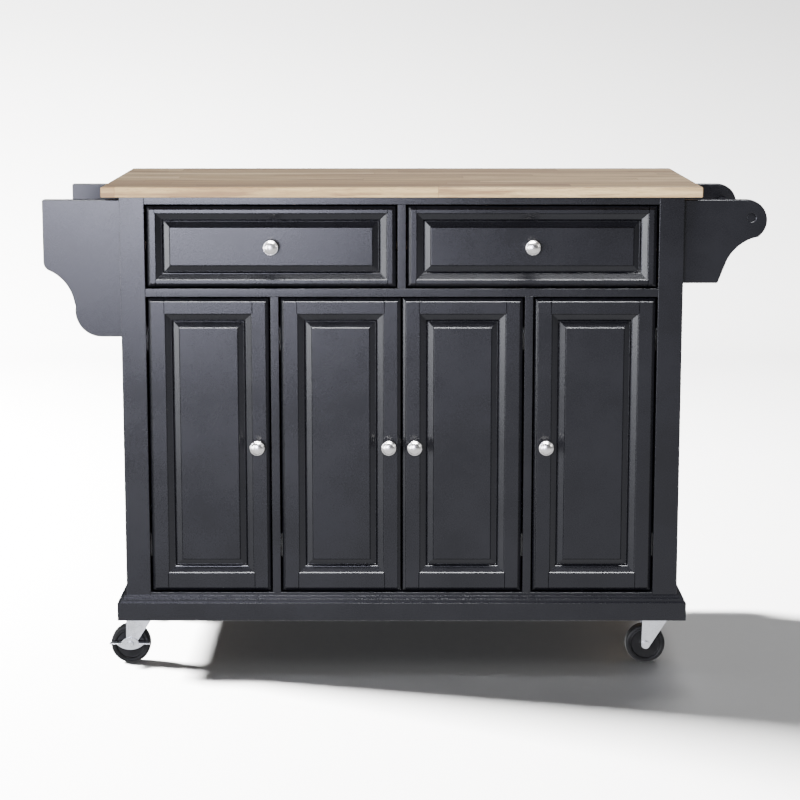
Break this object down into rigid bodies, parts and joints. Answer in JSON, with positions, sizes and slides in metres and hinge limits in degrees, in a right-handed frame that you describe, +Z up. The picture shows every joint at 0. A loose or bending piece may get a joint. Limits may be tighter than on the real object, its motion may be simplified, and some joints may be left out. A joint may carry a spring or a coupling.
{
  "type": "butcher block table",
  "caption": "Rolling kitchen island with a butcher block top, drawers over panelled cupboards, an end spice rack, an end towel bar and swivel casters.",
  "frame": {"origin": "on the floor, under the middle of the cabinet", "axes": "+X to the right along the length, +Y to the back, +Z up"},
  "size_m": [1.3299, 0.457, 0.914],
  "materials": {
    "butcher_block": "oiled, satin",
    "black_paint": "sprayed satin lacquer",
    "bare_wood": "clear lacquer",
    "satin_nickel": "brushed satin",
    "zinc_plate": "bright zinc",
    "hinge_steel": "nickel plated",
    "wheel_rubber": "matte"
  },
  "bodies": {
    "cabinet": {"back_panel": "black_paint", "base_moulding": "black_paint", "bottom_panel": "black_paint", "butcher_block_top": "butcher_block", "caster_plates": "zinc_plate", "corner_blocks": "bare_wood", "corner_posts": "black_paint", "drawer_divider": "black_paint", "drawer_runners": "bare_wood", "hinge_plates": "hinge_steel", "middle_panel": "black_paint", "partition_left": "black_paint", "partition_right": "black_paint", "shelf_centre": "black_paint", "shelf_left": "black_paint", "shelf_pins": "hinge_steel", "shelf_right": "black_paint", "side_panel_left": "black_paint", "side_panel_right": "black_paint", "spice_rack_end_boards": "black_paint", "spice_rack_rails": "black_paint", "spice_rack_shelves": "black_paint", "top_rails": "black_paint", "towel_bar": "black_paint", "towel_bracket_front": "black_paint", "towel_bracket_rear": "black_paint"},
    "brake_front_left": {"caster_brake_front_left": "zinc_plate"},
    "brake_rear_left": {"caster_brake_rear_left": "zinc_plate"},
    "caster_front_left": {"caster_fork_front_left": "zinc_plate"},
    "caster_front_right": {"caster_fork_front_right": "zinc_plate"},
    "caster_rear_left": {"caster_fork_rear_left": "zinc_plate"},
    "caster_rear_right": {"caster_fork_rear_right": "zinc_plate"},
    "wheel_front_left": {"caster_wheel_front_left": "wheel_rubber"},
    "wheel_front_right": {"caster_wheel_front_right": "wheel_rubber"},
    "wheel_rear_left": {"caster_wheel_rear_left": "wheel_rubber"},
    "wheel_rear_right": {"caster_wheel_rear_right": "wheel_rubber"},
    "door_centre_left": {"door_centre_left_frame": "black_paint", "door_centre_left_hinges": "hinge_steel", "door_centre_left_knob": "satin_nickel", "door_centre_left_panel": "black_paint"},
    "door_centre_right": {"door_centre_right_frame": "black_paint", "door_centre_right_hinges": "hinge_steel", "door_centre_right_knob": "satin_nickel", "door_centre_right_panel": "black_paint"},
    "door_left": {"door_left_frame": "black_paint", "door_left_hinges": "hinge_steel", "door_left_knob": "satin_nickel", "door_left_panel": "black_paint"},
    "door_right": {"door_right_frame": "black_paint", "door_right_hinges": "hinge_steel", "door_right_knob": "satin_nickel", "door_right_panel": "black_paint"},
    "drawer_left": {"drawer_left_bottom": "bare_wood", "drawer_left_box": "bare_wood", "drawer_left_front": "black_paint", "drawer_left_knob": "satin_nickel"},
    "drawer_right": {"drawer_right_bottom": "bare_wood", "drawer_right_box": "bare_wood", "drawer_right_front": "black_paint", "drawer_right_knob": "satin_nickel"}
  },
  "joints": [
    {"name": "drawer_left_slide", "type": "slide", "parent": "cabinet", "child": "drawer_left", "axis": [0, -1, 0], "range_m": [0, 0.27]},
    {"name": "drawer_right_slide", "type": "slide", "parent": "cabinet", "child": "drawer_right", "axis": [0, -1, 0], "range_m": [0, 0.27]},
    {"name": "door_left_hinge", "type": "hinge", "parent": "cabinet", "child": "door_left", "pos_m": [-0.469, -0.2005, 0.43], "axis": [0, 0, -1], "range_deg": [0, 105]},
    {"name": "door_centre_left_hinge", "type": "hinge", "parent": "cabinet", "child": "door_centre_left", "pos_m": [-0.225, -0.2005, 0.43], "axis": [0, 0, -1], "range_deg": [0, 105]},
    {"name": "door_centre_right_hinge", "type": "hinge", "parent": "cabinet", "child": "door_centre_right", "pos_m": [0.225, -0.2005, 0.43], "axis": [0, 0, 1], "range_deg": [0, 105]},
    {"name": "door_right_hinge", "type": "hinge", "parent": "cabinet", "child": "door_right", "pos_m": [0.469, -0.2005, 0.43], "axis": [0, 0, 1], "range_deg": [0, 105]},
    {"name": "caster_front_left_swivel", "type": "hinge", "parent": "cabinet", "child": "caster_front_left", "pos_m": [-0.49, -0.1495, 0.09], "axis": [0, 0, 1], "continuous": true},
    {"name": "wheel_front_left_spin", "type": "hinge", "parent": "caster_front_left", "child": "wheel_front_left", "pos_m": [-0.516, -0.1495, 0.0375], "axis": [0, 1, 0], "continuous": true},
    {"name": "brake_front_left_rock", "type": "hinge", "parent": "caster_front_left", "child": "brake_front_left", "pos_m": [-0.516, -0.1495, 0.0375], "axis": [0, 1, 0], "range_deg": [0, 12]},
    {"name": "caster_front_right_swivel", "type": "hinge", "parent": "cabinet", "child": "caster_front_right", "pos_m": [0.49, -0.1495, 0.09], "axis": [0, 0, 1], "continuous": true},
    {"name": "wheel_front_right_spin", "type": "hinge", "parent": "caster_front_right", "child": "wheel_front_right", "pos_m": [0.464, -0.1495, 0.0375], "axis": [0, 1, 0], "continuous": true},
    {"name": "caster_rear_left_swivel", "type": "hinge", "parent": "cabinet", "child": "caster_rear_left", "pos_m": [-0.49, 0.1495, 0.09], "axis": [0, 0, 1], "continuous": true},
    {"name": "wheel_rear_left_spin", "type": "hinge", "parent": "caster_rear_left", "child": "wheel_rear_left", "pos_m": [-0.516, 0.1495, 0.0375], "axis": [0, 1, 0], "continuous": true},
    {"name": "brake_rear_left_rock", "type": "hinge", "parent": "caster_rear_left", "child": "brake_rear_left", "pos_m": [-0.516, 0.1495, 0.0375], "axis": [0, 1, 0], "range_deg": [0, 12]},
    {"name": "caster_rear_right_swivel", "type": "hinge", "parent": "cabinet", "child": "caster_rear_right", "pos_m": [0.49, 0.1495, 0.09], "axis": [0, 0, 1], "continuous": true},
    {"name": "wheel_rear_right_spin", "type": "hinge", "parent": "caster_rear_right", "child": "wheel_rear_right", "pos_m": [0.464, 0.1495, 0.0375], "axis": [0, 1, 0], "continuous": true}
  ]
}
